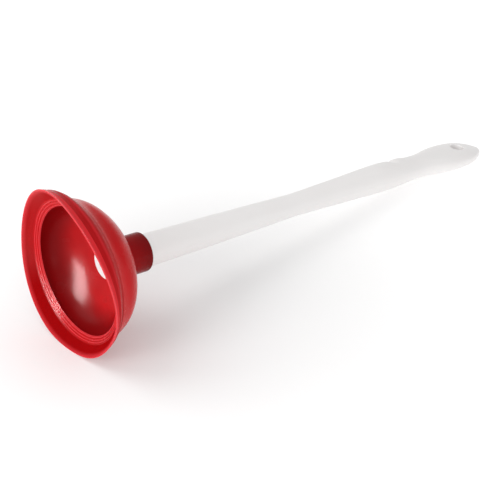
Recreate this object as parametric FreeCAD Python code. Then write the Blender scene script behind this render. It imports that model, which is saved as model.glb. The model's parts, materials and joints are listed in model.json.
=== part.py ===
import FreeCAD
import Part

# Toilet plunger lying on a floor: a soft red cup with a flared lip, and a hollow white handle that
# plugs into the cup's neck. Lengths are in millimetres.
#
# Every piece is drawn in the plunger's own frame first: Z runs from the lip's plane (Z = 0) up the
# handle, Y is across the grip's flat, and -X is the side of the grip that faces up. place() then
# lays the plunger down, with +X from the cup to the grip's tip and +Z up. It rests on the lip's
# edge and on the end of the grip, and the origin is on the floor under the middle of its box.

import math
import os

V = FreeCAD.Vector
AXIS = V(0, 0, 1)
ROUND = 2.0  # squareness of a section that is an ellipse or a circle

# Lip: the skirt that flares out in front of the cup, with a band round its outer edge.
LIP_R = 70.8  # radius of the lip's outer edge
LIP_EDGE = 1.6  # width of the flat face on the lip's edge
BAND_WIDTH = 2.9  # width of the band, along the axis
BAND_TAPER = 0.8  # how much smaller the band is at its back
BAND_STEP = 0.9  # step down from the band's back edge
STEP_WIDTH = 1.7  # distance from the band to where the flare starts
SKIRT_RUN = 11.0  # radial distance from the lip's outer edge in to the skirt's root
SKIRT_DEPTH = 9.2  # distance behind the lip's plane at which the skirt's root lies

# Rim: the face inside the skirt, which falls to the mouth in low concentric ribs.
RIM_WIDTH = 6.6
RIM_FALL = 2.5
RIB_COUNT = 3
RIB_HEIGHT = 0.5
MOUTH_OVERHANG = 2.3  # how far the mouth's edge stands in over the wall behind it
MOUTH_EDGE = 0.8  # depth of the mouth's edge

# Dome: a shell whose section is a quarter of an ellipse about a ring of radius CROWN_R.
CROWN_R = 11.0
DOME_WALL = 3.3
DOME_DEPTH = 34.7  # from the widest part of the dome to its crown
FOOT_INSET = 1.3  # how far inside the dome's widest radius the flare meets it
FLARE_SAG = 1.2  # how far the flare's back curves in from a straight cone

# Neck: the sleeve that grips the handle's spigot.
NECK_WALL = 2.55
NECK_END = 73.7  # distance of the neck's end from the lip's plane
NECK_EDGE = 0.8  # rounding of the neck's end

# Spigot: the straight end of the handle, with rounded beads that snap into the neck's grooves.
SPIGOT_R = 14.0
FIT_GAP = 0.05  # radial clearance between the spigot and the neck
SPIGOT_END = 36.8  # distance of the spigot's end from the lip's plane
BEAD_HEIGHT = 0.9
BEAD_WIDTH = 3.0
BEAD_PITCH = 9.0
BEAD_COUNT = 2
FIRST_BEAD = 8.0  # distance of the first bead's middle above the neck's root

# Handle: the section of the shaft, its waist and its paddle at a few stations along its length.
HANDLE_END = 497.5  # distance of the grip's tip from the lip's plane
HANDLE_WALL = 2.6
SLEEVE_MARGIN = 1.6  # length of straight spigot left showing above the neck
SHAFT_OVERLAP = 6.0  # length over which the shaft's solid reaches down into the spigot's
SHAFT_CURVE = 1.3  # 1 is a straight taper to the waist, and more holds the shaft thick for longer
WAIST_R = 10.3  # radius of the shaft at its thinnest
WAIST_AT = 240.0
WAIST_LIFT = 0.4  # how far the shaft has bowed up at its waist
SWELL_CURVE = 1.15  # 1 is a straight taper from the waist to the swell
SWELL_R = 13.8  # radius of the shaft where it swells before the grip
SWELL_AT = 345.0
PALM_HALF_WIDTH = 13.2  # half-width and half-height of the narrow part that the hand closes on
PALM_HALF_HEIGHT = 9.9
PALM_TO_TIP = 94.5
PALM_SQUARENESS = 2.2  # 2 is an ellipse, and a larger number has flatter sides
PALM_BULGE = 0.9  # extra half-width between the swell and the palm
PADDLE_HALF_WIDTH = 20.2
PADDLE_HALF_HEIGHT = 8.6
PADDLE_TO_TIP = 53.5
PADDLE_SQUARENESS = 2.6
TIP_STATIONS = (0.0, 0.2, 0.4, 0.58, 0.72, 0.83, 0.9, 0.955, 0.985)  # shares of the way to the tip
TIP_WIDTH_POWERS = (3.2, 0.84)  # how late and how bluntly the paddle's outline closes
TIP_HEIGHT_POWERS = (2.3, 0.8)
GRIP_LIFT = 1.4  # how far the grip bows up from the shaft's line
SHAFT_STEP = 0.2  # fall from the spigot to the shaft, at the line where they meet
CAVITY_TO_TIP = 52.0  # length of the grip's end that is solid, round the hanging hole
CAVITY_ROUNDING = 12.0
ROUNDING_SHARES = (0.5, 0.85, 0.98)  # where the hollow's rounded end has its sections
SECTION_POINTS = 24
SHAFT_STEPS = 6  # sections of the shaft from the neck to its waist
SWELL_STEPS = 4  # and from the waist to the swell
SWELL_SHARES = (0.35, 0.7, 1.0)  # shares of the way from the swell to the palm
PALM_SHARES = (0.33, 0.67)  # and from the palm to the paddle

# Finger notch: a short rounded groove across the grip's far upper side.
NOTCH_R = 5.0
NOTCH_DEPTH = 2.6
NOTCH_TO_TIP = 125.0
NOTCH_ANGLE = 52.0  # degrees round from the grip's edge towards its top

# Hanging hole through the paddle, with a shallow flat seat round each mouth.
HOLE_R = 6.8
HOLE_TO_TIP = 33.5
SEAT_R = 8.4
SEAT_DEPTH = 1.0

# Plug: closes the open end of the hollow handle, and is dished in the middle.
PLUG_FLANGE = 2.6
PLUG_EDGE = 1.2
PLUG_DEPTH = 12.0
PLUG_DISH_R = 7.6
PLUG_WALL = 1.8

# What follows from the sizes above.
ROOT_R = LIP_R - SKIRT_RUN
MOUTH_R = ROOT_R - RIM_WIDTH
MOUTH_AT = SKIRT_DEPTH + RIM_FALL
DOME_AT = MOUTH_AT + MOUTH_EDGE
INNER_R = MOUTH_R + MOUTH_OVERHANG
OUTER_R = INNER_R + DOME_WALL
BORE_R = SPIGOT_R + FIT_GAP
NECK_R = BORE_R + NECK_WALL
SHAFT_START = NECK_END + SLEEVE_MARGIN
HANDLE_BORE_R = SPIGOT_R - HANDLE_WALL


def ellipse_height(radius, wide, deep):
    """Height above DOME_AT of the dome's ellipse at a given radius from the plunger's axis."""
    share = (radius - CROWN_R) / wide
    return deep * math.sqrt(1.0 - share * share)


def dome_arc(wide, deep, r_from, r_to):
    """Part of the dome's section, as an arc of an ellipse from one radius to the other."""
    centre = V(CROWN_R, 0, DOME_AT)
    turn = 0.0 if wide >= deep else math.pi / 2
    longer = V(wide * math.cos(turn), 0, deep * math.sin(turn))
    shorter = V(-wide * math.sin(turn), 0, deep * math.cos(turn))
    angles = sorted(math.acos((radius - CROWN_R) / wide) - turn for radius in (r_from, r_to))
    ellipse = Part.Ellipse(centre + longer, centre + shorter, centre)
    return Part.ArcOfEllipse(ellipse, *angles).toShape()


def polyline(points):
    """Straight edges through (radius, height) points in the section's plane."""
    corners = [V(r, 0, z) for r, z in points]
    return [Part.LineSegment(a, b).toShape() for a, b in zip(corners, corners[1:])]


def arc_through(start, middle, end):
    """Circular arc through three (radius, height) points in the section's plane."""
    a, b, c = [V(r, 0, z) for r, z in (start, middle, end)]
    return Part.Arc(a, b, c).toShape()


def revolve(edges):
    """Solid of revolution about the plunger's axis from the edges of one closed section."""
    wire = Part.Wire(Part.__sortEdges__(edges))
    solid = Part.Face(wire).revolve(V(0, 0, 0), AXIS, 360)
    return Part.Solid(solid) if solid.ShapeType == "Shell" else solid


NECK_ROOT = DOME_AT + ellipse_height(NECK_R, OUTER_R - CROWN_R, DOME_DEPTH)


def bead_places():
    """Heights of the middles of the spigot's beads."""
    return [NECK_ROOT + FIRST_BEAD + k * BEAD_PITCH for k in range(BEAD_COUNT)]


def beaded_side(radius, gap, low, high):
    """Edges of a straight side from low to high, with a rounded bead at each of the bead places."""
    edges = []
    start = (radius, low)
    half = BEAD_WIDTH / 2 + gap
    for z in bead_places():
        foot = (radius, z - half)
        head = (radius, z + half)
        edges += polyline([start, foot])
        edges.append(arc_through(foot, (radius + BEAD_HEIGHT, z), head))
        start = head
    return edges + polyline([start, (radius, high)])


def rim_points():
    """Points of the ribbed rim from the skirt's root in to the mouth, and of the mouth's edge."""
    steps = 2 * RIB_COUNT + 1
    points = [(ROOT_R, SKIRT_DEPTH)]
    for k in range(1, steps):
        z = SKIRT_DEPTH + RIM_FALL * k / steps
        points.append((ROOT_R - RIM_WIDTH * k / steps, z - (RIB_HEIGHT if k % 2 else 0.0)))
    return points + [(MOUTH_R, MOUTH_AT), (INNER_R, DOME_AT)]


def flare_edge():
    """Back of the skirt: a hollow curve from the step behind the band up to the dome's side."""
    start = V(LIP_R - BAND_TAPER - BAND_STEP, 0, BAND_WIDTH + STEP_WIDTH)
    foot_r = OUTER_R - FOOT_INSET
    foot = V(foot_r, 0, DOME_AT + ellipse_height(foot_r, OUTER_R - CROWN_R, DOME_DEPTH))
    chord = foot - start
    inward = V(-chord.z, 0, chord.x).normalize()
    middle = (start + foot) * 0.5 + inward * FLARE_SAG
    return Part.Arc(start, middle, foot).toShape()


def make_cup_bell():
    """Lip, skirt, ribbed rim and dome, up to the plane where the neck starts."""
    inner_wide = INNER_R - CROWN_R
    inner_deep = DOME_DEPTH - DOME_WALL
    crown = DOME_AT + ellipse_height(BORE_R, inner_wide, inner_deep)
    inside = [(LIP_R - LIP_EDGE, 0.0)] + rim_points()
    edges = polyline(inside)
    edges.append(dome_arc(inner_wide, inner_deep, INNER_R, BORE_R))
    edges += polyline([(BORE_R, crown), (BORE_R, NECK_ROOT), (NECK_R, NECK_ROOT)])
    edges.append(dome_arc(OUTER_R - CROWN_R, DOME_DEPTH, NECK_R, OUTER_R - FOOT_INSET))
    edges.append(flare_edge())
    band_r = LIP_R - BAND_TAPER
    flare_start = (band_r - BAND_STEP, BAND_WIDTH + STEP_WIDTH)
    edges += polyline([flare_start, (band_r - BAND_STEP, BAND_WIDTH), (band_r, BAND_WIDTH)])
    edges += polyline([(band_r, BAND_WIDTH), (LIP_R, 0.0), inside[0]])
    return revolve(edges)


def make_cup_neck():
    """Sleeve from the dome's crown to the neck's end, with grooves for the spigot's beads."""
    edges = beaded_side(BORE_R, FIT_GAP, NECK_ROOT, NECK_END)
    edges += polyline([(BORE_R, NECK_END), (NECK_R - NECK_EDGE, NECK_END)])
    corner = NECK_EDGE * (1.0 - math.sqrt(0.5))
    middle = (NECK_R - corner, NECK_END - corner)
    edges.append(arc_through((NECK_R - NECK_EDGE, NECK_END), middle, (NECK_R, NECK_END - NECK_EDGE)))
    edges += polyline([(NECK_R, NECK_END - NECK_EDGE), (NECK_R, NECK_ROOT), (BORE_R, NECK_ROOT)])
    return revolve(edges)


def eased(share):
    """Share of a smooth ramp that starts and ends level."""
    return share * share * (3 - 2 * share)


def between(start, end, share):
    """Value at a share of the way from start to end."""
    return start + (end - start) * share


def stations():
    """Sections of the handle from the neck to the tip: place, half-width, half-height, lift, squareness."""
    start_r = SPIGOT_R - SHAFT_STEP
    palm_at = HANDLE_END - PALM_TO_TIP
    paddle_at = HANDLE_END - PADDLE_TO_TIP
    rows = []
    for at in (SHAFT_START - SHAFT_OVERLAP, SHAFT_START):
        rows.append((at, start_r, start_r, 0.0, ROUND))
    for k in range(1, SHAFT_STEPS):
        radius = between(start_r, WAIST_R, (k / SHAFT_STEPS) ** SHAFT_CURVE)
        rows.append((between(SHAFT_START, WAIST_AT, k / SHAFT_STEPS), radius, radius, 0.0, ROUND))
    for k in range(SWELL_STEPS + 1):
        radius = between(WAIST_R, SWELL_R, (k / SWELL_STEPS) ** SWELL_CURVE)
        lift = between(WAIST_LIFT, GRIP_LIFT, k / SWELL_STEPS)
        rows.append((between(WAIST_AT, SWELL_AT, k / SWELL_STEPS), radius, radius, lift, ROUND))
    for share in SWELL_SHARES:
        wide = between(SWELL_R, PALM_HALF_WIDTH, eased(share)) + PALM_BULGE * math.sin(math.pi * share)
        high = between(SWELL_R, PALM_HALF_HEIGHT, eased(share))
        square = between(ROUND, PALM_SQUARENESS, eased(share))
        rows.append((between(SWELL_AT, palm_at, share), wide, high, GRIP_LIFT, square))
    for share in PALM_SHARES:
        wide = between(PALM_HALF_WIDTH, PADDLE_HALF_WIDTH, eased(share))
        high = between(PALM_HALF_HEIGHT, PADDLE_HALF_HEIGHT, eased(share))
        square = between(PALM_SQUARENESS, PADDLE_SQUARENESS, eased(share))
        rows.append((between(palm_at, paddle_at, share), wide, high, GRIP_LIFT, square))
    for share in TIP_STATIONS:
        wide = PADDLE_HALF_WIDTH * (1.0 - share ** TIP_WIDTH_POWERS[0]) ** TIP_WIDTH_POWERS[1]
        high = PADDLE_HALF_HEIGHT * (1.0 - share ** TIP_HEIGHT_POWERS[0]) ** TIP_HEIGHT_POWERS[1]
        rows.append((between(paddle_at, HANDLE_END, share), wide, high, GRIP_LIFT, PADDLE_SQUARENESS))
    return rows


def section(at, half_width, half_height, lift, squareness):
    """Closed curve of one station: an ellipse whose sides can be flattened."""
    points = []
    for k in range(SECTION_POINTS):
        angle = 2 * math.pi * k / SECTION_POINTS
        across = math.copysign(abs(math.cos(angle)) ** (2 / squareness), math.cos(angle))
        up = math.copysign(abs(math.sin(angle)) ** (2 / squareness), math.sin(angle))
        points.append(V(-(lift + half_height * up), half_width * across, at))
    curve = Part.BSplineCurve()
    curve.interpolate(Points=points, PeriodicFlag=True)
    return Part.Wire(curve.toShape())


def make_spigot():
    """Straight end of the handle, solid, with its beads."""
    low = SPIGOT_END + PLUG_FLANGE
    edges = beaded_side(SPIGOT_R, 0.0, low, SHAFT_START)
    edges += polyline([(SPIGOT_R, SHAFT_START), (0.0, SHAFT_START), (0.0, low), (SPIGOT_R, low)])
    return revolve(edges)


def make_cavity():
    """The handle's hollow, one wall inside its outer surface, with a rounded far end."""
    low = SPIGOT_END + PLUG_FLANGE
    bore = Part.makeCylinder(HANDLE_BORE_R, SHAFT_START, V(0, 0, low - SHAFT_OVERLAP), AXIS)
    bore = bore.common(Part.makeCylinder(SPIGOT_R, SHAFT_START, V(0, 0, 0), AXIS))
    end = HANDLE_END - CAVITY_TO_TIP
    start_rounding = end - CAVITY_ROUNDING
    rows = [row for row in stations() if row[0] < start_rounding]
    wires = []
    for at, wide, high, lift, square in rows:
        wires.append(section(at, wide - HANDLE_WALL, high - HANDLE_WALL, lift, square))
    wide, high, lift, square = rows[-1][1:]
    for share in ROUNDING_SHARES:
        shrink = math.sqrt(1.0 - share * share)
        at = between(start_rounding, end, share)
        wires.append(section(at, (wide - HANDLE_WALL) * shrink, (high - HANDLE_WALL) * shrink, lift, square))
    return bore.fuse(Part.makeLoft(wires, True, False))


def make_notch():
    """Cutter for the finger notch: a rod that crosses the grip's far upper side."""
    angle = math.radians(NOTCH_ANGLE)
    outward = V(-math.sin(angle), math.cos(angle), 0)
    along = V(math.cos(angle), math.sin(angle), 0)
    at = HANDLE_END - NOTCH_TO_TIP
    nearest = min(stations(), key=lambda row: abs(row[0] - at))
    wide, high, lift = nearest[1:4]
    reach = math.hypot(wide * math.cos(angle), high * math.sin(angle))
    middle = outward * (reach + NOTCH_R - NOTCH_DEPTH) + V(-lift, 0, at)
    length = 4 * SWELL_R
    return Part.makeCylinder(NOTCH_R, length, middle - along * (length / 2), along)


def make_hanging_hole():
    """Cutter for the hanging hole and the flat seat round each of its mouths."""
    at = HANDLE_END - HOLE_TO_TIP
    reach = 3 * PADDLE_HALF_HEIGHT
    cutter = Part.makeCylinder(HOLE_R, 2 * reach, V(-reach, 0, at), V(1, 0, 0))
    for side in (-1, 1):
        face = -GRIP_LIFT + side * (PADDLE_HALF_HEIGHT - SEAT_DEPTH)
        cutter = cutter.fuse(Part.makeCylinder(SEAT_R, reach, V(face, 0, at), V(side, 0, 0)))
    return cutter


def make_handle():
    """Hollow handle: spigot, tapering shaft, swell, narrow palm and paddle with its hanging hole."""
    shaft = Part.makeLoft([section(*row) for row in stations()], True, False)
    handle = make_spigot().fuse(shaft)
    handle = handle.cut(make_cavity())
    handle = handle.cut(make_notch())
    handle = handle.cut(make_hanging_hole())
    return handle.removeSplitter().Solids[0]


def make_handle_plug():
    """Plug that closes the handle's open end: a rounded flange, a skirt and a dished middle."""
    flange_top = SPIGOT_END + PLUG_FLANGE
    corner = PLUG_EDGE * (1.0 - math.sqrt(0.5))
    dish_floor = SPIGOT_END + PLUG_DEPTH - PLUG_WALL
    end = SPIGOT_END + PLUG_DEPTH
    edges = polyline([(PLUG_DISH_R, SPIGOT_END), (SPIGOT_R - PLUG_EDGE, SPIGOT_END)])
    turn = (SPIGOT_R - corner, SPIGOT_END + corner)
    edges.append(arc_through((SPIGOT_R - PLUG_EDGE, SPIGOT_END), turn, (SPIGOT_R, SPIGOT_END + PLUG_EDGE)))
    edges += polyline([(SPIGOT_R, SPIGOT_END + PLUG_EDGE), (SPIGOT_R, flange_top)])
    edges += polyline([(SPIGOT_R, flange_top), (HANDLE_BORE_R, flange_top), (HANDLE_BORE_R, end)])
    edges += polyline([(HANDLE_BORE_R, end), (0.0, end), (0.0, dish_floor)])
    edges += polyline([(0.0, dish_floor), (PLUG_DISH_R, dish_floor), (PLUG_DISH_R, SPIGOT_END)])
    return revolve(edges)


def lowest(shape, tilt):
    """Height of a shape's lowest point once the plunger's axis dips by tilt degrees."""
    return lay_down(shape, tilt).optimalBoundingBox(False).ZMin


def lay_down(shape, tilt):
    """Copy of a shape turned from the plunger's own frame to lie along +X, dipping by tilt degrees."""
    laid = shape.copy()
    laid.rotate(V(0, 0, 0), V(0, 1, 0), 90.0 + tilt)
    return laid


def resting_tilt(cup, handle):
    """The dip in degrees at which the lip's edge and the grip's end touch the floor together."""
    low, high = 0.0, 20.0
    for _ in range(16):
        middle = (low + high) / 2
        if lowest(handle, middle) > lowest(cup, middle):
            low = middle
        else:
            high = middle
    return (low + high) / 2


def main():
    """Build every piece, lay the plunger on the floor and write one STEP file per piece."""
    nodes = {
        "cup_bell": make_cup_bell(),
        "cup_neck": make_cup_neck(),
        "handle": make_handle(),
        "handle_plug": make_handle_plug(),
    }
    tilt = resting_tilt(nodes["cup_bell"], nodes["handle"])
    whole = Part.makeCompound([lay_down(shape, tilt) for shape in nodes.values()])
    box = whole.optimalBoundingBox(False)
    shift = V(-(box.XMin + box.XMax) / 2, -(box.YMin + box.YMax) / 2, -box.ZMin)
    os.makedirs("parts", exist_ok=True)
    for name, shape in nodes.items():
        laid = lay_down(shape, tilt)
        laid.translate(shift)
        laid.exportStep(f"parts/{name}.step")
        print(f"{name}: {len(laid.Solids)} solid, valid {laid.isValid()}, {laid.Volume:.0f} mm3")
    lip = lay_down(Part.Vertex(0, 0, 0), tilt)
    lip.translate(shift)
    print(f"dip {tilt:.4f} deg, lip plane's centre {lip.X:.3f}, {lip.Y:.3f}, {lip.Z:.3f}")
    print(f"box {box.XLength:.2f} x {box.YLength:.2f} x {box.ZLength:.2f} mm")


main()
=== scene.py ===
"""Looks of a toilet plunger: a soft red cup pressed on to a hollow white plastic handle.

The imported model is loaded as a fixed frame, and every piece is made around it in metres. Sizes are
given in millimetres in the plunger's own frame: distance along the axis from the lip's plane, and
radius or offset from the axis.
"""

import json
import logging
import math
from dataclasses import dataclass
from enum import Enum

import bpy
import numpy as np
from mathutils import Matrix, Vector


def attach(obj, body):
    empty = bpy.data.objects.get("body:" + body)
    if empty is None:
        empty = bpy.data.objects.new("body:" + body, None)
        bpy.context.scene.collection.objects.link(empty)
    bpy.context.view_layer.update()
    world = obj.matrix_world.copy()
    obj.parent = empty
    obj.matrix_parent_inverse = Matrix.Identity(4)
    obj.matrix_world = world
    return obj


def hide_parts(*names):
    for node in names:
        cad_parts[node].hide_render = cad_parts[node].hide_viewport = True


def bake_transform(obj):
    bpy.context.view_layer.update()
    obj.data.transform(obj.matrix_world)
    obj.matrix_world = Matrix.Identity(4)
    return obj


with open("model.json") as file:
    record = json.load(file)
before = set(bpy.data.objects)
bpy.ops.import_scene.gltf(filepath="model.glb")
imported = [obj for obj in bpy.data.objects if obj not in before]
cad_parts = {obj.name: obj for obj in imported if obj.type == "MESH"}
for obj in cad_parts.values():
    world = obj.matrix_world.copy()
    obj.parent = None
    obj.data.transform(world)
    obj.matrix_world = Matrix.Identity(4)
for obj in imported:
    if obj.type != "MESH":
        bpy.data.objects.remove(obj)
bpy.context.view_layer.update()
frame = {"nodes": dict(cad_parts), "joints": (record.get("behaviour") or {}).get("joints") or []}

LOG = logging.getLogger("plunger")
MM = 0.001
Socket = bpy.types.NodeSocket
Point = tuple[float, float]


class Body(Enum):
    """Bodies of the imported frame."""

    CUP = "cup"
    NECK = "neck"
    GRIP = "grip"


class Slot(Enum):
    """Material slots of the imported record."""

    RUBBER = "cup_rubber"
    PLASTIC = "handle_plastic"


def smoothstep(low: float, high: float, value: np.ndarray) -> np.ndarray:
    """Smooth ramp.

    Args:
        low: value at which the ramp is 0.
        high: value at which the ramp is 1.
        value: where the ramp is read.

    Returns:
        The ramp at each value.
    """
    share = np.clip((value - low) / (high - low), 0.0, 1.0)
    return share * share * (3.0 - 2.0 * share)


@dataclass(frozen=True)
class PlungerAxis:
    """The plunger's own frame, as it lies on the floor.

    Attributes:
        origin: centre of the lip's plane.
        along: unit vector from the cup to the grip.
        across: unit vector across the grip's flat.
        upward: unit vector square to both, on the side of the grip that faces up.
    """

    origin: np.ndarray
    along: np.ndarray
    across: np.ndarray
    upward: np.ndarray

    @classmethod
    def from_frame(cls) -> "PlungerAxis":
        """Reads the axis from the turning joint, and the lip's plane from the cup's solid.

        Returns:
            The axis, in metres.
        """
        joint = next(j for j in frame["joints"] if j["name"] == "handle_turn")
        along = np.array(joint["axis"], float)
        along /= np.linalg.norm(along)
        on_axis = np.array(joint["pos_m"], float)
        cup = frame["nodes"]["cup_bell"].data.vertices
        reach = min(float(np.array(v.co) @ along) for v in cup)
        origin = on_axis + along * (reach - on_axis @ along)
        across = np.array((0.0, 1.0, 0.0))
        return cls(origin, along, across, np.cross(along, across))

    def places(self, at: np.ndarray, across: np.ndarray, up: np.ndarray) -> np.ndarray:
        """Places in the frame of points given in millimetres in the plunger's own frame."""
        return self.origin + MM * (
            at[..., None] * self.along + across[..., None] * self.across + up[..., None] * self.upward
        )


class Section:
    """One closed section, drawn corner by corner with a rounding at each corner."""

    def __init__(self) -> None:
        """Starts an empty section."""
        self.corners: list[tuple[float, float, float]] = []

    def corner(self, radius: float, at: float, rounding: float = 0.0) -> None:
        """Adds a corner, with the radius of the arc that rounds it."""
        self.corners.append((radius, at, rounding))

    def curve(self, points: list[Point]) -> None:
        """Adds points of a smooth run, which need no rounding."""
        for radius, at in points:
            self.corner(radius, at)

    def outline(self, steps: int = 6) -> np.ndarray:
        """Rounds the corners.

        Args:
            steps: number of segments in each rounding.

        Returns:
            The section's points as rows of radius and distance along the axis.
        """
        rows: list[np.ndarray] = []
        count = len(self.corners)
        for index, (radius, at, rounding) in enumerate(self.corners):
            here = np.array((radius, at))
            if rounding <= 0.0:
                rows.append(here)
                continue
            before = np.array(self.corners[index - 1][:2]) - here
            after = np.array(self.corners[(index + 1) % count][:2]) - here
            toward = before / np.linalg.norm(before)
            onward = after / np.linalg.norm(after)
            half = math.acos(float(np.clip(toward @ onward, -1.0, 1.0))) / 2
            reach = rounding / math.tan(half)
            reach = min(reach, 0.45 * np.linalg.norm(before), 0.45 * np.linalg.norm(after))
            for step in range(steps + 1):
                share = step / steps
                rows.append(
                    (1 - share) ** 2 * (here + toward * reach)
                    + 2 * share * (1 - share) * here
                    + share**2 * (here + onward * reach)
                )
        return np.array(rows)


def quad_mesh(name: str, grid: np.ndarray, closed_along: bool, cap_ends: bool = False) -> bpy.types.Object:
    """Makes a smooth mesh from a grid of places that is closed around.

    Args:
        name: the piece's name.
        grid: places as rows of the grid, columns around it, and coordinates.
        closed_along: whether the last row joins the first.
        cap_ends: whether the first and last rows are closed with a point in their middle.

    Returns:
        The new object, in the scene.
    """
    rows, columns = grid.shape[:2]
    faces: list[tuple[int, ...]] = []
    for row in range(rows if closed_along else rows - 1):
        below = row * columns
        above = ((row + 1) % rows) * columns
        for column in range(columns):
            right = (column + 1) % columns
            faces.append((below + column, below + right, above + right, above + column))
    places = grid.reshape(-1, 3)
    if cap_ends:
        for row, flip in ((0, True), (rows - 1, False)):
            middle = len(places)
            places = np.vstack((places, grid[row].mean(axis=0)))
            for column in range(columns):
                edge = (row * columns + column, row * columns + (column + 1) % columns)
                faces.append((edge[1], edge[0], middle) if flip else (*edge, middle))
    mesh = bpy.data.meshes.new(name)
    mesh.from_pydata(places.tolist(), [], faces)
    mesh.validate()
    mesh.shade_smooth()
    piece = bpy.data.objects.new(name, mesh)
    bpy.context.scene.collection.objects.link(piece)
    return piece


def point_values(piece: bpy.types.Object, name: str, values: np.ndarray) -> None:
    """Stores one number for each of a mesh's points, for its material to read."""
    attribute = piece.data.attributes.new(name, "FLOAT", "POINT")
    attribute.data.foreach_set("value", values.astype(np.float32).ravel())


class Finish:
    """A material, built node by node."""

    def __init__(self, name: str) -> None:
        """Makes the material with its surface shader.

        Args:
            name: the material's name.
        """
        self.material = bpy.data.materials.new(name)
        self.material.use_nodes = True
        self.tree = self.material.node_tree
        self.shader = self.tree.nodes["Principled BSDF"]

    def node(self, kind: str, **settings: object) -> bpy.types.Node:
        """Adds a node and sets its own settings, and its inputs by name.

        Args:
            kind: the node's type.
            settings: values by name, with a low line for each space in an input's name.

        Returns:
            The new node.
        """
        made = self.tree.nodes.new(kind)
        for key, value in settings.items():
            if hasattr(made, key):
                setattr(made, key, value)
            else:
                made.inputs[key.replace("_", " ")].default_value = value
        return made

    def link(self, source: Socket, target: Socket) -> None:
        """Joins an output to an input."""
        self.tree.links.new(source, target)

    def noise(self, scale: float, detail: float = 2.0, roughness: float = 0.5) -> Socket:
        """Adds noise in the object's own coordinates.

        Args:
            scale: number of blotches in a metre.
            detail: number of finer layers.
            roughness: strength of the finer layers.

        Returns:
            The noise's output.
        """
        place = self.node("ShaderNodeTexCoord")
        noise = self.node("ShaderNodeTexNoise", Scale=scale, Detail=detail, Roughness=roughness)
        self.link(place.outputs["Object"], noise.inputs["Vector"])
        return noise.outputs["Fac"]

    def spread(self, source: Socket, low: float, high: float, out_low: float, out_high: float) -> Socket:
        """Maps a range of a value on to another range.

        Args:
            source: the value.
            low: start of the range that is read.
            high: end of the range that is read.
            out_low: what the start becomes.
            out_high: what the end becomes.

        Returns:
            The mapped value.
        """
        ranged = self.node("ShaderNodeMapRange")
        names = ("From Min", "From Max", "To Min", "To Max")
        for name, value in zip(names, (low, high, out_low, out_high)):
            ranged.inputs[name].default_value = value
        self.link(source, ranged.inputs["Value"])
        return ranged.outputs["Result"]

    def blend(self, share: Socket, first: object, second: object) -> Socket:
        """Mixes two colours.

        Args:
            share: how much of the second colour shows.
            first: colour, or an output.
            second: colour, or an output.

        Returns:
            The mixed colour.
        """
        mix = self.node("ShaderNodeMix", data_type="RGBA")
        self.link(share, mix.inputs[0])
        for slot, colour in ((6, first), (7, second)):
            if isinstance(colour, Socket):
                self.link(colour, mix.inputs[slot])
            else:
                mix.inputs[slot].default_value = (*colour, 1.0)
        return mix.outputs[2]

    def attribute(self, name: str) -> Socket:
        """Reads a number that the mesh stores for its points."""
        return self.node("ShaderNodeAttribute", attribute_name=name).outputs["Fac"]

    def bump(self, height: Socket, strength: float, distance: float) -> None:
        """Roughens the surface by a height.

        Args:
            height: the output that gives the height.
            strength: how much of the height shows.
            distance: the largest height, in metres.
        """
        bump = self.node("ShaderNodeBump", Strength=strength, Distance=distance)
        self.link(height, bump.inputs["Height"])
        self.link(bump.outputs["Normal"], self.shader.inputs["Normal"])


@dataclass(frozen=True)
class RedRubber:
    """Glossy soft red rubber, with painted highlights and painted shade.

    Attributes:
        body: main colour of the rubber.
        deep: colour where the wall is slightly darker.
        shaded: darkest colour, painted shade on the neck, in the dome's inside and on the flare behind the
            ridge.
        face: colour of the skirt's sealing face, darkened as painted shade.
        edge: paler colour painted along edges as highlights.
    """

    body: tuple[float, float, float] = (0.56, 0.006, 0.009)
    deep: tuple[float, float, float] = (0.46, 0.004, 0.006)
    shaded: tuple[float, float, float] = (0.165, 0.003, 0.004)
    face: tuple[float, float, float] = (0.33, 0.003, 0.004)
    edge: tuple[float, float, float] = (0.80, 0.055, 0.070)

    def make(self) -> bpy.types.Material:
        """Builds the material.

        Returns:
            The material.
        """
        finish = Finish("red_rubber")
        cloud = finish.spread(finish.noise(22.0, 3.0), 0.35, 0.65, 0.0, 1.0)
        base = finish.blend(cloud, self.body, self.deep)
        # Painted shade darkens the neck, the dome's inside and the flare behind the ridge.
        base = finish.blend(finish.attribute("painted_shade"), base, self.shaded)
        # The sealing face is darkened as painted shade; the same mark makes it dull and less glossy.
        base = finish.blend(finish.attribute("dull_shaded_face"), base, self.face)
        # Painted highlights: edges get a paler colour.
        highlighted = finish.blend(finish.attribute("painted_highlight"), base, self.edge)
        shader = finish.shader
        finish.link(highlighted, shader.inputs["Base Color"])
        smear = finish.spread(finish.noise(60.0, 4.0), 0.3, 0.7, 0.21, 0.29)
        dull = finish.node("ShaderNodeMath", operation="MULTIPLY_ADD")
        dull.inputs[1].default_value = 0.25
        finish.link(finish.attribute("dull_shaded_face"), dull.inputs[0])
        finish.link(smear, dull.inputs[2])
        finish.link(dull.outputs[0], shader.inputs["Roughness"])
        shader.inputs["IOR"].default_value = 1.5
        gloss = finish.spread(finish.attribute("dull_shaded_face"), 0.0, 1.0, 0.07, 0.0)
        finish.link(gloss, shader.inputs["Specular IOR Level"])
        shader.inputs["Subsurface Weight"].default_value = 0.12
        shader.inputs["Subsurface Radius"].default_value = (1.0, 0.08, 0.06)
        shader.inputs["Subsurface Scale"].default_value = 0.004
        finish.bump(finish.noise(900.0, 2.0), 0.05, 0.0002)
        return finish.material


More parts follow.
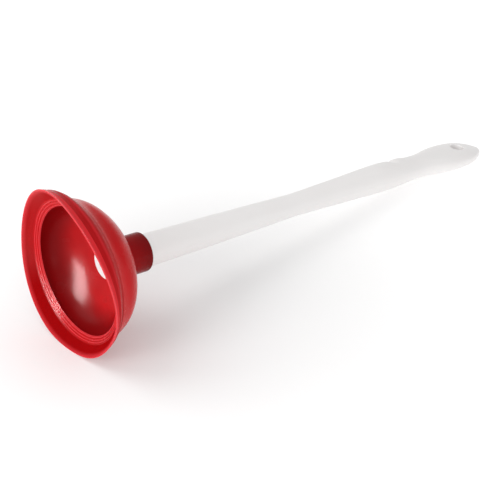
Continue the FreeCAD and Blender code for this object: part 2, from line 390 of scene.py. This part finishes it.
@dataclass(frozen=True)
class WhitePlastic:
    """Satin white moulded plastic.

    Attributes:
        body: main colour.
        warm: colour of its faint blotches.
        roughness: range of its roughness.
    """

    body: tuple[float, float, float] = (0.88, 0.862, 0.855)
    warm: tuple[float, float, float] = (0.86, 0.838, 0.83)
    roughness: tuple[float, float] = (0.36, 0.44)

    def make(self) -> bpy.types.Material:
        """Builds the material.

        Returns:
            The material.
        """
        finish = Finish("white_plastic")
        cloud = finish.spread(finish.noise(14.0, 3.0), 0.35, 0.65, 0.0, 1.0)
        finish.link(finish.blend(cloud, self.body, self.warm), finish.shader.inputs["Base Color"])
        grain = finish.spread(finish.noise(450.0, 3.0), 0.3, 0.7, *self.roughness)
        finish.link(grain, finish.shader.inputs["Roughness"])
        finish.shader.inputs["IOR"].default_value = 1.46
        finish.shader.inputs["Subsurface Weight"].default_value = 0.08
        finish.shader.inputs["Subsurface Radius"].default_value = (1.0, 0.95, 0.9)
        finish.shader.inputs["Subsurface Scale"].default_value = 0.002
        finish.bump(finish.noise(1400.0, 2.0), 0.06, 0.0001)
        return finish.material


@dataclass(frozen=True)
class PaleFloor:
    """Plain pale studio floor that glows with painted light, which is dimmed under the plunger as a painted
    shadow.

    Attributes:
        tone: its colour.
        lift: glow painted on it under the plunger, kept low there as a painted shadow.
        far_lift: glow painted on it well away from the plunger.
        middle: place along X of the painted shadow's darkest part, under the cup.
        reach: distances from the middle between which the light changes, in metres.
    """

    tone: float = 0.80
    lift: float = 0.12
    far_lift: float = 0.52
    middle: float = -0.13
    reach: tuple[float, float] = (0.05, 0.42)

    def make(self) -> bpy.types.Material:
        """Builds the material.

        Returns:
            The material.
        """
        finish = Finish("pale_floor")
        mottle = finish.spread(finish.noise(3.0), 0.3, 0.7, 0.0, 1.0)
        tone = (self.tone, self.tone, self.tone)
        shade = (self.tone * 0.99, self.tone * 0.99, self.tone * 0.99)
        finish.link(finish.blend(mottle, tone, shade), finish.shader.inputs["Base Color"])
        finish.shader.inputs["Roughness"].default_value = 0.7
        finish.shader.inputs["Specular IOR Level"].default_value = 0.0
        # Painted light: the floor glows, dimly near the cup as a painted shadow and brightly far from it.
        finish.shader.inputs["Emission Color"].default_value = (1.0, 1.0, 1.0, 1.0)
        place = finish.node("ShaderNodeTexCoord")
        away = finish.node("ShaderNodeVectorMath", operation="DISTANCE")
        away.inputs[1].default_value = (self.middle, 0.0, 0.0)
        finish.link(place.outputs["Object"], away.inputs[0])
        strength = finish.spread(away.outputs["Value"], *self.reach, self.lift, self.far_lift)
        finish.link(strength, finish.shader.inputs["Emission Strength"])
        return finish.material


@dataclass(frozen=True)
class Marks:
    """Strengths of the painted highlights, painted shade and dull face on the cup, which its rubber reads.

    Attributes:
        lip: strength of the painted highlight along the lip's edge.
        band: strength of the painted highlight on the band behind it.
        mouth: strength of the painted highlight along the mouth's edge.
        ridge: strength of the painted highlight along the ridge behind the band.
        ribs: strength of the painted highlight on the ribs' tops.
        inside: strength of the painted shade in the dome's inside.
        flare: strength of the painted shade on the flare behind the ridge.
        face_top: share of the sealing face's dullness and painted shade on its upper side, where 1 is its
            lower side.
    """

    lip: float = 0.55
    band: float = 0.36
    mouth: float = 0.6
    ridge: float = 0.3
    ribs: float = 0.7
    inside: float = 0.80
    flare: float = 0.35
    face_top: float = 0.55


@dataclass
class Cup:
    """The soft cup: lip, skirt, ribbed rim, dome and neck in one moulding. Sizes in millimetres.

    The lip and dome lean a little on the neck, and the lip waves, as a soft cup does when it lies on
    a floor. The moulding bends between the cup's body and the neck's.
    """

    axis: PlungerAxis
    marks: Marks = Marks()
    around: int = 240
    # Lip, and the skirt's hollow face.
    lip_r: float = 70.8
    lip_edge: float = 1.6
    lip_round: float = 0.6
    root_r: float = 59.8
    skirt_depth: float = 9.2
    skirt_sag: float = 0.5
    # Mouth, and the ribs between it and the skirt's root.
    mouth_r: float = 53.2
    mouth_at: float = 11.7
    rib_count: int = 3
    rib_height: float = 0.8
    rib_steps: int = 12
    # Dome, as two quarter ellipses about the crown's ring.
    crown_r: float = 11.0
    dome_at: float = 12.5
    inner_r: float = 55.5
    outer_r: float = 58.8
    inner_deep: float = 31.4
    outer_deep: float = 34.7
    dome_points: int = 44
    # Band, ridge and flare, behind the lip.
    band_r: float = 69.6
    band_end: float = 3.1
    band_step: float = 0.8
    band_hollow: float = 0.5
    ridge_r: float = 68.3
    ridge_at: float = 5.8
    ridge_half: float = 0.7
    ridge_height: float = 0.15
    ridge_fall: float = 0.25
    foot_r: float = 57.5
    flare_sag: float = 1.3
    flare_steps: int = 12
    flare_inset: float = 0.3
    flare_rise: float = 1.0
    # Neck, and the grooves in its bore.
    neck_r: float = 16.6
    neck_fillet: float = 1.6
    bore_r: float = 14.05
    neck_root: float = 46.96
    neck_end: float = 73.7
    bead_height: float = 0.9
    bead_half: float = 1.55
    first_bead: float = 8.0
    bead_pitch: float = 9.0
    blend_start: float = 4.0
    # Lean of the lip and dome, in radians, and the stretch over which it fades into the neck.
    lean: float = 0.0570
    lean_pivot: float = 18.8
    lean_fade: Point = (34.0, 47.0)
    # Wave of the lip: its terms, where it starts and how far it runs each way, and its radii.
    wave: tuple[float, float, float, float] = (-1.86, 3.38, -2.33, -3.12)
    wave_ahead: Point = (0.5, 8.0)
    wave_behind: Point = (1.0, 12.5)
    wave_radii: Point = (50.0, 66.0)
    # Corner of the lip that is squeezed in, its angle and width in radians, and where it fades.
    squeeze: float = 4.2
    squeeze_turn: float = 3.68
    squeeze_width: float = 0.55
    squeeze_radii: Point = (54.0, 70.0)
    squeeze_fade: Point = (7.0, 18.0)

    def dome(self, wide_r: float, deep: float, r_from: float, r_to: float, count: int) -> list[Point]:
        """Points of a quarter ellipse about the crown's ring.

        Args:
            wide_r: radius at the widest.
            deep: depth from the widest part to the crown.
            r_from: radius of the first point.
            r_to: radius of the last point.
            count: number of points.

        Returns:
            The points as radius and distance along the axis.
        """
        wide = wide_r - self.crown_r
        first, last = (math.acos((r - self.crown_r) / wide) for r in (r_from, r_to))
        points = []
        for step in range(count):
            angle = first + (last - first) * step / (count - 1)
            points.append((self.crown_r + wide * math.cos(angle), self.dome_at + deep * math.sin(angle)))
        return points

    def flare(self) -> list[Point]:
        """Points of the hollow run from the ridge up to the dome's side.

        Returns:
            The points as radius and distance along the axis.
        """
        foot_r, foot_at = self.dome(self.outer_r, self.outer_deep, self.foot_r, self.crown_r, 2)[0]
        run = self.ridge_r - self.flare_inset - foot_r
        rise = foot_at - self.ridge_at - self.flare_rise
        length = math.hypot(run, rise)
        points = []
        for step in range(1, self.flare_steps):
            share = step / self.flare_steps
            sag = self.flare_sag * math.sin(math.pi * share)
            radius = self.ridge_r - self.flare_inset - run * share - sag * rise / length
            at = self.ridge_at + self.flare_rise + rise * share - sag * run / length
            points.append((radius, at))
        return points

    def section(self) -> np.ndarray:
        """Draws the cup's section, from the lip up the outside and back down the inside.

        Returns:
            Rows of radius and distance along the axis.
        """
        line = Section()
        line.corner(self.lip_r, 0.0, self.lip_round)
        for share in (0.25, 0.5, 0.75):
            radius = self.lip_r + (self.band_r - self.lip_r) * share
            line.corner(radius - self.band_hollow * math.sin(math.pi * share), self.band_end * share)
        line.corner(self.band_r, self.band_end, 0.25)
        line.corner(self.band_r - self.band_step, self.band_end + 0.2, 0.25)
        line.corner(self.ridge_r, self.ridge_at - self.ridge_half, 0.3)
        line.corner(self.ridge_r + self.ridge_height, self.ridge_at, 0.3)
        line.corner(self.ridge_r - self.ridge_fall, self.ridge_at + self.ridge_half, 0.4)
        line.curve(self.flare())
        first, last = self.foot_r - 0.4, self.neck_r + self.neck_fillet
        line.curve(self.dome(self.outer_r, self.outer_deep, first, last, self.dome_points))
        line.corner(self.neck_r, self.neck_root, 1.2)
        line.corner(self.neck_r, self.neck_end, 0.9)
        line.corner(self.bore_r, self.neck_end, 0.3)
        for bead in (1, 0):
            middle = self.neck_root + self.first_bead + bead * self.bead_pitch
            for step in range(9):
                share = 1 - step / 4
                bulge = self.bead_height * (1 - share * share)
                line.corner(self.bore_r + bulge, middle + self.bead_half * share)
        crown = self.dome(self.inner_r, self.inner_deep, self.bore_r, self.inner_r, self.dome_points)
        line.corner(*crown[0], 0.6)
        line.curve(crown[1:-1])
        line.corner(self.inner_r, self.dome_at, 0.5)
        line.corner(self.mouth_r, self.mouth_at, 0.45)
        steps = self.rib_steps * self.rib_count
        fall = self.mouth_at - self.skirt_depth
        for step in range(2, steps - 1):
            share = step / steps
            rib = self.rib_height * math.sin(math.pi * share * self.rib_count) ** 2
            radius = self.mouth_r + (self.root_r - self.mouth_r) * share
            line.corner(radius, self.mouth_at - fall * share - rib)
        line.corner(self.root_r, self.skirt_depth, 0.5)
        inner_lip = self.lip_r - self.lip_edge
        for share in (0.15, 0.3, 0.45, 0.6, 0.75, 0.9):
            sag = self.skirt_sag * math.sin(math.pi * share)
            radius = self.root_r + (inner_lip - self.root_r) * share - sag
            line.corner(radius, self.skirt_depth * (1 - share))
        line.corner(inner_lip, 0.0, 0.5)
        return line.outline()

    def lip_wave(self, turn: np.ndarray) -> np.ndarray:
        """How far the lip's edge waves forward.

        Args:
            turn: angle of each point around the axis.

        Returns:
            The wave at each point, in millimetres.
        """
        first, second, third, fourth = self.wave
        once = first * np.cos(turn) + second * np.sin(turn)
        return once + third * np.cos(2 * turn) + fourth * np.sin(2 * turn)

    def shaped(self, radius: np.ndarray, at: np.ndarray, turn: np.ndarray) -> np.ndarray:
        """Bends the moulding as it lies.

        Args:
            radius: radius of each point.
            at: distance of each point along the axis.
            turn: angle of each point around the axis.

        Returns:
            The places, in metres.
        """
        wave = self.lip_wave(turn)
        ahead = (at - self.wave_ahead[0]) / self.wave_ahead[1]
        behind = (at - self.wave_behind[0]) / self.wave_behind[1]
        near = 1.0 - smoothstep(0.0, 1.0, np.where(wave > 0.0, ahead, behind))
        at = at - wave * near * smoothstep(*self.wave_radii, radius)
        away = np.angle(np.exp(1j * (turn - self.squeeze_turn)))
        squeeze = self.squeeze * np.exp(-((away / self.squeeze_width) ** 2))
        near = 1.0 - smoothstep(*self.squeeze_fade, at)
        radius = radius - squeeze * smoothstep(*self.squeeze_radii, radius) * near
        angle = self.lean * (1.0 - smoothstep(*self.lean_fade, at))
        across = radius * np.cos(turn)
        up = radius * np.sin(turn)
        reach = at - self.lean_pivot
        leaned_at = self.lean_pivot + reach * np.cos(angle) - up * np.sin(angle)
        leaned_up = reach * np.sin(angle) + up * np.cos(angle)
        return self.pressed(self.axis.places(leaned_at, across, leaned_up))

    @staticmethod
    def pressed(places: np.ndarray) -> np.ndarray:
        """Lifts what would be under the floor, and flattens it there.

        Args:
            places: the moulding's places.

        Returns:
            The places, none of them under the floor.
        """
        soft = 0.006
        low = float(places[..., 2].min())
        if low >= 0.0:
            return places
        share = np.clip((soft - places[..., 2]) / (soft - low), 0.0, 1.0)
        places[..., 2] -= low * share * share
        return places

    def build(self) -> bpy.types.Object:
        """Builds the moulding and marks it for its rubber.

        Returns:
            The cup.
        """
        rows = self.section()
        turn = np.linspace(0.0, 2 * math.pi, self.around, endpoint=False)
        radius, turns = np.meshgrid(rows[:, 0], turn, indexing="ij")
        at = np.repeat(rows[:, 1][:, None], self.around, axis=1)
        cup = quad_mesh("cup_moulding", self.shaped(radius, at, turns), closed_along=True)
        self.mark(cup, radius, at, turns)
        return cup

    def mark(self, cup: bpy.types.Object, radius: np.ndarray, at: np.ndarray, turn: np.ndarray) -> None:
        """Marks where the rubber gets painted highlights, painted shade and a dull face.

        Args:
            cup: the cup, which is changed.
            radius: radius of each point before the moulding is bent.
            at: distance of each point along the axis, likewise.
            turn: angle of each point around the axis.
        """
        marks = self.marks
        outside = smoothstep(-0.6, 0.2, radius - self.lip_r + 0.4 + at * 0.45)
        # Painted highlights: paler colour along the lip, the band behind it, the mouth's edge, the ridge and
        # the ribs' tops.
        lip = (1.0 - smoothstep(0.0, 2.2, at)) * marks.lip
        band = marks.band * outside * (1.0 - smoothstep(self.band_end - 0.2, self.band_end + 0.2, at))
        off_mouth = ((radius - self.mouth_r) / 0.9) ** 2 + ((at - self.mouth_at) / 0.8) ** 2
        off_ridge = ((radius - self.ridge_r - 0.2) / 0.4) ** 2 + ((at - self.ridge_at) / 0.5) ** 2
        share = np.clip((radius - self.mouth_r) / (self.root_r - self.mouth_r), 0.0, 1.0)
        ribs = np.sin(math.pi * share * self.rib_count) ** 6 * (at < self.mouth_at) * (1.0 - outside)
        edges = np.exp(-off_mouth) * marks.mouth + np.exp(-off_ridge) * marks.ridge + ribs * marks.ribs
        point_values(cup, "painted_highlight", np.clip(lip + band + edges, 0.0, 1.0))
        # Painted shade: the neck, the dome's inside and the flare behind the ridge are darkened.
        rise = np.clip(1.0 - ((at - self.dome_at) / (self.inner_deep + 1.0)) ** 2, 0.0, 1.0)
        wide = self.crown_r + (self.inner_r + 1.0 - self.crown_r) * np.sqrt(rise)
        inside = smoothstep(38.0, 54.0, radius) * (radius < wide) * (at > self.mouth_at + 0.2)
        flare = outside * smoothstep(self.band_end, self.band_end + 0.3, at)
        flare = flare * (1.0 - smoothstep(9.0, 22.0, at))
        shaded = smoothstep(45.0, 50.0, at) + marks.inside * inside + marks.flare * flare
        point_values(cup, "painted_shade", np.clip(shaded, 0.0, 1.0))
        # The sealing face is dull and less glossy, and darkened as painted shade, more on its lower side.
        on_face = (1.0 - outside) * (at < self.mouth_at + 0.2)
        on_face = on_face * smoothstep(self.root_r, self.root_r + 0.8, radius)
        low_side = marks.face_top + (1.0 - marks.face_top) * smoothstep(-0.3, 0.6, -np.sin(turn))
        point_values(cup, "dull_shaded_face", on_face * low_side)

    def dress(self, cup: bpy.types.Object) -> None:
        """Gives the cup its finish, hides the imported cup pieces and bakes its placement into its mesh.

        Args:
            cup: the cup.
        """
        cup.data.materials.append(RedRubber().make())
        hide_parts("cup_bell", "cup_neck")
        start, end = self.axis.places(np.array((self.blend_start, self.neck_root)), np.zeros(2), np.zeros(2))
        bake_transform(cup)


@dataclass
class Handle:
    """The hollow plastic handle and the plug in its end. Sizes in millimetres.

    Each station holds a place along the axis, half-width, half-height, lift and squareness.
    """

    axis: PlungerAxis
    around: int = 120
    round_power: float = 2.0
    # Spigot, hidden in the neck, with its two beads.
    spigot_r: float = 14.0
    spigot_start: float = 39.4
    shaft_start: float = 75.3
    bead_places: tuple[float, float] = (54.96, 63.96)
    bead_height: float = 0.9
    bead_half: float = 1.5
    # Shaft, waist and swell, with the lift that carries them up towards the grip.
    shaft_r: float = 13.8
    shaft_curve: float = 1.3
    waist_at: float = 240.0
    waist_r: float = 10.3
    waist_lift: float = 0.4
    swell_at: float = 345.0
    swell_r: float = 13.8
    swell_curve: float = 1.15
    grip_lift: float = 1.4
    # Palm and paddle, and the powers that round the tip's width and height.
    palm: tuple[float, float, float, float, float] = (403.0, 13.2, 9.9, 1.4, 2.2)
    palm_bulge: float = 0.9
    paddle: tuple[float, float, float, float, float] = (444.0, 20.2, 8.6, 1.4, 2.6)
    tip_at: float = 497.5
    tip_wide: Point = (3.2, 0.84)
    tip_high: Point = (2.3, 0.8)
    parting_line: float = 0.14
    # Smoothing of the sections: their spacing, its width, and how many count each way.
    even_step: float = 1.5
    smooth_width: float = 5.0
    smooth_window: int = 9
    # Finger notch, its angle and spread in radians, and the hump's height, distance and half-length.
    notch_at: float = 372.5
    notch_depth: float = 2.8
    notch_half: float = 3.4
    notch_turn: float = 0.91
    notch_spread: float = 0.75
    hump: tuple[float, float, float] = (0.9, 12.0, 8.0)
    # Hanging hole, its soft mouths, and the body that cuts it.
    hole_at: float = 464.0
    hole_r: float = 6.8
    seat_r: float = 8.4
    seat_depth: float = 1.0
    mouth_stretch: float = 1.6
    mouth_steps: int = 12
    cutter_r: float = 12.5
    cutter_half: float = 24.0
    cutter_sides: int = 96
    sharp_degrees: float = 35.0

    def stations(self) -> np.ndarray:
        """Sections of the handle, close together along it.

        Returns:
            Rows of place, half-width, half-height, lift and squareness.
        """
        rows: list[tuple[float, ...]] = []
        span = self.waist_at - self.shaft_start
        for step in range(61):
            share = step / 60
            radius = self.shaft_r + (self.waist_r - self.shaft_r) * share**self.shaft_curve
            lift = self.waist_lift * share
            rows.append((self.shaft_start + span * share, radius, radius, lift, self.round_power))
        span = self.swell_at - self.waist_at
        for step in range(1, 41):
            share = step / 40
            radius = self.waist_r + (self.swell_r - self.waist_r) * share**self.swell_curve
            lift = self.waist_lift + (self.grip_lift - self.waist_lift) * share
            rows.append((self.waist_at + span * share, radius, radius, lift, self.round_power))
        swell = (self.swell_at, self.swell_r, self.swell_r, self.grip_lift, self.round_power)
        for first, last, bulge in ((swell, self.palm, self.palm_bulge), (self.palm, self.paddle, 0.0)):
            for step in range(1, 31):
                share = step / 30
                eased = share * share * (3.0 - 2.0 * share)
                row = [a + (b - a) * eased for a, b in zip(first, last)]
                row[0] = first[0] + (last[0] - first[0]) * share
                row[1] += bulge * math.sin(math.pi * share)
                rows.append(tuple(row))
        table = np.array(rows)
        even = np.arange(self.shaft_start, self.paddle[0], self.even_step)
        window = np.arange(-self.smooth_window, self.smooth_window + 1)
        spread = np.exp(-0.5 * (window * self.even_step / self.smooth_width) ** 2)
        columns = [even]
        for column in range(1, 5):
            values = np.interp(even, table[:, 0], table[:, column])
            padded = np.pad(values, self.smooth_window, mode="reflect", reflect_type="odd")
            columns.append(np.convolve(padded, spread / spread.sum(), mode="valid"))
        body = np.stack(columns, axis=1)
        share = np.sin(np.linspace(0.0, 0.5 * math.pi, 46)[:-1])
        wide = self.paddle[1] * (1.0 - share ** self.tip_wide[0]) ** self.tip_wide[1]
        high = self.paddle[2] * (1.0 - share ** self.tip_high[0]) ** self.tip_high[1]
        place = self.paddle[0] + (self.tip_at - self.paddle[0]) * share
        lift, square = (np.full_like(share, value) for value in self.paddle[3:])
        return np.vstack((body, np.stack([place, wide, high, lift, square], axis=1)))

    def build(self) -> bpy.types.Object:
        """Builds the handle's outside, with its finger notch, parting line and hanging hole.

        Returns:
            The handle.
        """
        neck = np.linspace(self.spigot_start, self.shaft_start - 0.2, 72)
        radius = np.full_like(neck, self.spigot_r)
        for place in self.bead_places:
            radius += self.bead_height * np.clip(1.0 - ((neck - place) / self.bead_half) ** 2, 0.0, None)
        square = np.full_like(neck, self.round_power)
        spigot = np.stack([neck, radius, radius, np.zeros_like(neck), square], axis=1)
        rows = np.vstack((spigot, self.stations()))
        turn = np.linspace(0.0, 2 * math.pi, self.around, endpoint=False)
        at, wide, high, lift, square = (
            np.repeat(rows[:, k][:, None], self.around, axis=1) for k in range(5)
        )
        power = 2.0 / square
        across = np.sign(np.cos(turn)) * np.abs(np.cos(turn)) ** power
        up = np.sign(np.sin(turn)) * np.abs(np.sin(turn)) ** power
        away = np.angle(np.exp(1j * (turn - self.notch_turn)))[None, :]
        side = np.exp(-((away / self.notch_spread) ** 4))
        groove = np.exp(-(((at - self.notch_at) / self.notch_half) ** 2)) * side * self.notch_depth
        height, behind, half = self.hump
        groove -= height * np.exp(-(((at - self.notch_at - behind) / half) ** 2)) * side
        line = np.zeros_like(turn)
        line[[0, self.around // 2]] = self.parting_line
        grown = line[None, :] * (at > self.shaft_start) * (at < self.tip_at - 2.0) - groove
        handle = quad_mesh(
            "handle_shell",
            self.axis.places(at, (wide + grown) * across, lift + (high + grown) * up),
            closed_along=False,
            cap_ends=True,
        )
        self.bore(handle)
        return handle

    def bore(self, handle: bpy.types.Object) -> None:
        """Cuts the hanging hole, with soft mouths.

        Args:
            handle: the handle, which is changed.
        """
        reach = self.paddle[2] - self.seat_depth
        soft = self.seat_r - self.hole_r
        points: list[Point] = [(self.cutter_r, -self.cutter_half)]
        for side in (-1.0, 1.0):
            mouth: list[Point] = []
            for step in range(self.mouth_steps + 1):
                angle = 0.5 * math.pi * step / self.mouth_steps
                rise = reach - soft + soft * math.sin(angle) * self.mouth_stretch
                mouth.append((self.hole_r + soft * (1.0 - math.cos(angle)), side * rise))
            mouth.append((self.cutter_r, side * (reach + 2.2)))
            points += mouth if side > 0.0 else mouth[::-1]
        points.append((self.cutter_r, self.cutter_half))
        rows = np.array(points)
        turn = np.linspace(0.0, 2 * math.pi, self.cutter_sides, endpoint=False)
        radius, turns = np.meshgrid(rows[:, 0], turn, indexing="ij")
        height = np.repeat(rows[:, 1][:, None], self.cutter_sides, axis=1) + self.palm[3]
        along = self.hole_at + radius * np.cos(turns)
        places = self.axis.places(along, radius * np.sin(turns), height)
        cutter = quad_mesh("hole_cutter", places, closed_along=False, cap_ends=True)
        cut = handle.modifiers.new("hole", "BOOLEAN")
        cut.operation = "DIFFERENCE"
        cut.solver = "EXACT"
        cut.object = cutter
        graph = bpy.context.evaluated_depsgraph_get()
        handle.data = bpy.data.meshes.new_from_object(handle.evaluated_get(graph))
        handle.modifiers.clear()
        handle.data.shade_smooth()
        handle.data.set_sharp_from_angle(angle=math.radians(self.sharp_degrees))
        bpy.data.objects.remove(cutter)

    def dress(self, handle: bpy.types.Object) -> None:
        """Gives the handle and the plug their finish, and ties the handle to its node.

        Args:
            handle: the handle.
        """
        plastic = WhitePlastic().make()
        plug = frame["nodes"]["handle_plug"]
        for piece in (handle, plug):
            piece.data.materials.clear()
            piece.data.materials.append(plastic)
        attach(handle, Body.GRIP.value)
        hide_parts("handle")


@dataclass(frozen=True)
class Softbox:
    """A soft studio light.

    Attributes:
        name: the light's name.
        azimuth: direction it stands in, in degrees from -Y towards +X.
        elevation: its height over the floor, in degrees.
        distance: its distance from the target, in metres.
        width: its width in metres.
        height: its height in metres.
        power: its power in watts.
        glints_only: whether it shows in gloss but lights nothing.
    """

    name: str
    azimuth: float
    elevation: float
    distance: float
    width: float
    height: float
    power: float
    glints_only: bool = False

    def place(self, target: Vector) -> bpy.types.Object:
        """Stands the light around a target and faces it there.

        Args:
            target: the point it faces.

        Returns:
            The light.
        """
        light = bpy.data.lights.new(self.name, "AREA")
        light.shape = "RECTANGLE"
        light.size = self.width
        light.size_y = self.height
        light.energy = self.power
        lamp = bpy.data.objects.new(self.name, light)
        bpy.context.scene.collection.objects.link(lamp)
        turn, rise = math.radians(self.azimuth), math.radians(self.elevation)
        back = Vector((math.sin(turn) * math.cos(rise), -math.cos(turn) * math.cos(rise), math.sin(rise)))
        lamp.visible_diffuse = not self.glints_only
        lamp.location = target + back * self.distance
        lamp.rotation_euler = back.to_track_quat("Z", "Y").to_euler()
        return lamp


@dataclass
class Studio:
    """Floor, surroundings, lights and camera."""

    azimuth: float = -0.7002
    elevation: float = 0.5824
    distance: float = 1.10592
    target: tuple[float, float, float] = (-0.05247, 0.00036, 0.0110)
    roll: float = -0.0124
    lens: float = 90.0
    floor_half: float = 8.0
    surround: float = 0.70

    def floor(self) -> bpy.types.Object:
        """Lays the floor.

        Returns:
            The floor.
        """
        side = self.floor_half
        mesh = bpy.data.meshes.new("studio_floor")
        corners = [(-side, -side, 0.0), (side, -side, 0.0), (side, side, 0.0), (-side, side, 0.0)]
        mesh.from_pydata(corners, [], [(0, 1, 2, 3)])
        floor = bpy.data.objects.new("studio_floor", mesh)
        bpy.context.scene.collection.objects.link(floor)
        floor.data.materials.append(PaleFloor().make())
        return floor

    def surroundings(self) -> None:
        """Surrounds the scene with plain white."""
        world = bpy.data.worlds.new("studio")
        bpy.context.scene.world = world
        world.use_nodes = True
        tree = world.node_tree
        tree.nodes.clear()
        out = tree.nodes.new("ShaderNodeOutputWorld")
        mix = tree.nodes.new("ShaderNodeMixShader")
        path = tree.nodes.new("ShaderNodeLightPath")
        tree.links.new(path.outputs["Is Camera Ray"], mix.inputs[0])
        for slot, strength in ((1, self.surround), (2, 1.0)):
            sky = tree.nodes.new("ShaderNodeBackground")
            sky.inputs["Color"].default_value = (1.0, 1.0, 1.0, 1.0)
            sky.inputs["Strength"].default_value = strength
            tree.links.new(sky.outputs[0], mix.inputs[slot])
        tree.links.new(mix.outputs[0], out.inputs["Surface"])

    def lights(self) -> None:
        """Stands the softboxes round the cup."""
        cup = Vector((-0.2, 0.0, 0.05))
        middle = Vector((0.0, 0.0, 0.03))
        Softbox("side_box", -84.0, 26.0, 1.3, 0.6, 0.6, 4.2).place(cup)
        Softbox("back_box", -132.0, 54.0, 1.8, 1.2, 1.2, 7.5).place(middle)
        Softbox("low_box", -12.0, 7.0, 1.5, 1.4, 0.3, 2.1).place(middle)
        Softbox("glint_box", -90.0, 13.0, 1.2, 0.58, 2.0, 235.0, glints_only=True).place(cup)

    def camera(self) -> bpy.types.Object:
        """Stands the camera.

        Returns:
            The camera.
        """
        lens = bpy.data.cameras.new("camera")
        lens.lens = self.lens
        lens.sensor_width = 36.0
        lens.clip_end = 100.0
        camera = bpy.data.objects.new("camera", lens)
        bpy.context.scene.collection.objects.link(camera)
        turn, rise = self.azimuth, self.elevation
        back = Vector((math.sin(turn) * math.cos(rise), -math.cos(turn) * math.cos(rise), math.sin(rise)))
        right = Vector((0.0, 0.0, 1.0)).cross(back).normalized()
        up = back.cross(right)
        level = Matrix((right, up, back)).transposed().to_4x4()
        camera.matrix_world = (
            Matrix.Translation(Vector(self.target) + back * self.distance)
            @ level
            @ Matrix.Rotation(self.roll, 4, "Z")
        )
        bpy.context.scene.camera = camera
        return camera


def main() -> None:
    """Builds the studio and the plunger, in order, and reports each piece."""
    logging.basicConfig(level=logging.INFO, format="%(message)s")
    bpy.context.scene.view_settings.view_transform = "Standard"
    axis = PlungerAxis.from_frame()
    studio = Studio()
    studio.floor()
    studio.surroundings()
    studio.lights()
    studio.camera()
    cup = Cup(axis)
    moulding = cup.build()
    cup.dress(moulding)
    LOG.info("%s: %d points", moulding.name, len(moulding.data.vertices))
    handle = Handle(axis)
    shell = handle.build()
    handle.dress(shell)
    LOG.info("%s: %d points", shell.name, len(shell.data.vertices))


if __name__ == "__main__":
    main()
